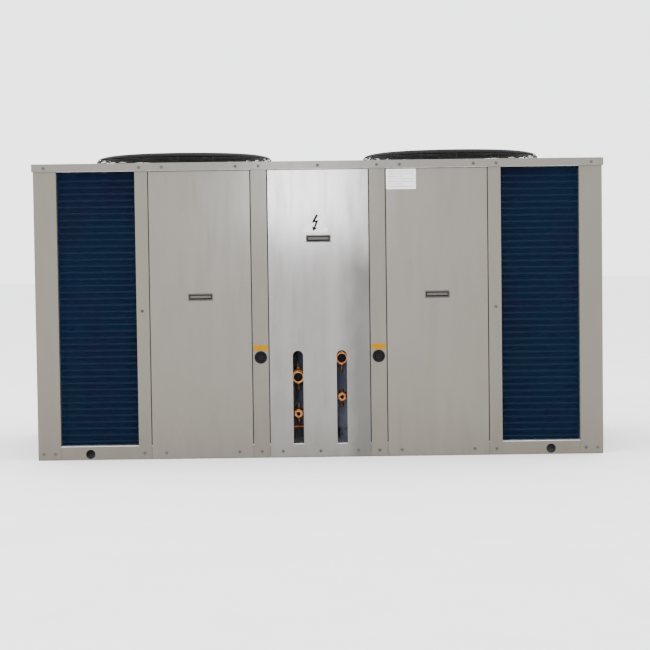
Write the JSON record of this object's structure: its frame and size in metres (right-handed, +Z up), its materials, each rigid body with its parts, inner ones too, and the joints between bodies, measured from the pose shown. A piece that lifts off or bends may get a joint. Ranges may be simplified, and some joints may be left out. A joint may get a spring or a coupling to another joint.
{
  "type": "scroll condensing unit",
  "caption": "Air-cooled outdoor condensing unit: sheet-steel cabinet with lift-off panels, wrapped coils at both ends, top fans under wire guards and scroll compressors inside.",
  "frame": {"origin": "middle of the footprint, at the underside of the base rails", "axes": "+X to the unit's right as seen from the service side, +Y to the back, +Z up; the service panels face -Y"},
  "size_m": [2.215, 1.095, 1.203],
  "materials": {
    "cabinet_paint": "satin",
    "cover_paint": "satin",
    "galvanised": "satin",
    "coil_fins": "satin",
    "copper": "polished",
    "valve_brass": "satin",
    "guard_wire": "satin",
    "fan_blade": "satin",
    "motor_black": "matte",
    "compressor_paint": "satin",
    "cast_iron": "machined",
    "steel": "satin",
    "winding": "satin",
    "rubber": "matte",
    "handle_plastic": "satin",
    "yellow_label": "satin",
    "white_label": "satin",
    "vessel_paint": "satin",
    "drier_paint": "satin",
    "device_plastic": "matte",
    "lever_plastic": "satin",
    "aluminium_cast": "machined"
  },
  "bodies": {
    "cabinet": {"base_rail_front": "cabinet_paint", "base_rail_rear": "cabinet_paint", "base_cross_rails": "cabinet_paint", "floor_pan": "galvanised", "liquid_receivers": "vessel_paint", "corner_posts": "cabinet_paint", "coil_posts": "cabinet_paint", "mullions": "cabinet_paint", "top_rails": "galvanised", "top_cover": "cover_paint", "rear_panels": "cabinet_paint", "rear_panel_handles": "handle_plastic", "cabinet_screws": "steel", "cable_grommets": "rubber", "port_labels": "yellow_label", "coil_left_fins": "coil_fins", "coil_right_fins": "coil_fins", "coil_left_pipework": "copper", "coil_right_pipework": "copper", "coil_tube_sheets": "galvanised", "fan_guard_left": "guard_wire", "fan_guard_right": "guard_wire", "fan_orifice_left": "cover_paint", "fan_orifice_right": "cover_paint", "fan_motor_stators": "motor_black", "compressor_shells": "compressor_paint", "compressor_stators": "winding", "compressor_frames": "cast_iron", "fixed_scrolls": "cast_iron", "compressor_terminal_boxes": "motor_black", "compressor_mounts": "rubber", "refrigerant_lines": "copper", "filter_driers": "drier_paint", "service_valve_bodies": "valve_brass", "control_box": "galvanised", "switchgear": "device_plastic"},
    "left_panel": {"left_access_panel": "cabinet_paint", "left_panel_handle": "handle_plastic", "left_panel_screws": "steel"},
    "control_panel": {"control_access_panel": "cabinet_paint", "control_panel_handle": "handle_plastic", "control_panel_screws": "steel", "electrical_sign": "white_label"},
    "right_panel": {"right_access_panel": "cabinet_paint", "right_panel_handle": "handle_plastic", "right_panel_screws": "steel", "data_label": "white_label"},
    "impeller_left": {"fan_impeller_left": "fan_blade"},
    "impeller_right": {"fan_impeller_right": "fan_blade"},
    "crank_a": {"crankshaft_a": "steel"},
    "crank_b": {"crankshaft_b": "steel"},
    "orbiter_a": {"orbiting_scroll_a": "cast_iron"},
    "orbiter_b": {"orbiting_scroll_b": "cast_iron"},
    "ring_a": {"oldham_ring_a": "aluminium_cast"},
    "ring_b": {"oldham_ring_b": "aluminium_cast"},
    "suction_stem_a": {"suction_valve_stem_a": "steel"},
    "suction_stem_b": {"suction_valve_stem_b": "steel"},
    "liquid_stem_a": {"liquid_valve_stem_a": "steel"},
    "liquid_stem_b": {"liquid_valve_stem_b": "steel"},
    "breaker": {"breaker_lever": "lever_plastic"}
  },
  "joints": [
    {"name": "left_panel_pull", "type": "slide", "parent": "cabinet", "child": "left_panel", "axis": [0, -1, 0], "range_m": [0, 0.3]},
    {"name": "control_panel_pull", "type": "slide", "parent": "cabinet", "child": "control_panel", "axis": [0, -1, 0], "range_m": [0, 0.3]},
    {"name": "right_panel_pull", "type": "slide", "parent": "cabinet", "child": "right_panel", "axis": [0, -1, 0], "range_m": [0, 0.3]},
    {"name": "fan_left_spin", "type": "hinge", "parent": "cabinet", "child": "impeller_left", "pos_m": [-0.552, 0, 1.095], "axis": [0, 0, 1], "continuous": true},
    {"name": "fan_right_spin", "type": "hinge", "parent": "cabinet", "child": "impeller_right", "pos_m": [0.552, 0, 1.095], "axis": [0, 0, 1], "continuous": true},
    {"name": "crank_a_spin", "type": "hinge", "parent": "cabinet", "child": "crank_a", "pos_m": [-0.25, -0.13, 0.3], "axis": [0, 0, 1], "continuous": true},
    {"name": "crank_b_spin", "type": "hinge", "parent": "cabinet", "child": "crank_b", "pos_m": [0.25, -0.13, 0.3], "axis": [0, 0, 1], "continuous": true},
    {"name": "scroll_a_orbit", "type": "hinge", "parent": "crank_a", "child": "orbiter_a", "pos_m": [-0.245, -0.13, 0.42], "axis": [0, 0, 1], "continuous": true},
    {"name": "scroll_b_orbit", "type": "hinge", "parent": "crank_b", "child": "orbiter_b", "pos_m": [0.255, -0.13, 0.42], "axis": [0, 0, 1], "continuous": true},
    {"name": "oldham_a_slide", "type": "slide", "parent": "cabinet", "child": "ring_a", "axis": [1, 0, 0], "range_m": [-0.01, 0]},
    {"name": "oldham_b_slide", "type": "slide", "parent": "cabinet", "child": "ring_b", "axis": [1, 0, 0], "range_m": [-0.01, 0]},
    {"name": "suction_valve_a_turn", "type": "hinge", "parent": "cabinet", "child": "suction_stem_a", "pos_m": [-0.085, -0.468, 0.313], "axis": [0, 0, 1], "range_deg": [0, 90]},
    {"name": "suction_valve_b_turn", "type": "hinge", "parent": "cabinet", "child": "suction_stem_b", "pos_m": [0.085, -0.468, 0.385], "axis": [0, 0, 1], "range_deg": [0, 90]},
    {"name": "liquid_valve_a_turn", "type": "hinge", "parent": "cabinet", "child": "liquid_stem_a", "pos_m": [-0.085, -0.468, 0.17], "axis": [0, 0, 1], "range_deg": [0, 90]},
    {"name": "liquid_valve_b_turn", "type": "hinge", "parent": "cabinet", "child": "liquid_stem_b", "pos_m": [0.085, -0.468, 0.233], "axis": [0, 0, 1], "range_deg": [0, 90]},
    {"name": "breaker_toggle", "type": "hinge", "parent": "cabinet", "child": "breaker", "pos_m": [-0.105, -0.411, 1], "axis": [1, 0, 0], "range_deg": [0, 70]}
  ],
  "couplings": [
    {"joint": "scroll_a_orbit", "follows": "crank_a_spin", "ratio": -1},
    {"joint": "scroll_b_orbit", "follows": "crank_b_spin", "ratio": -1}
  ]
}
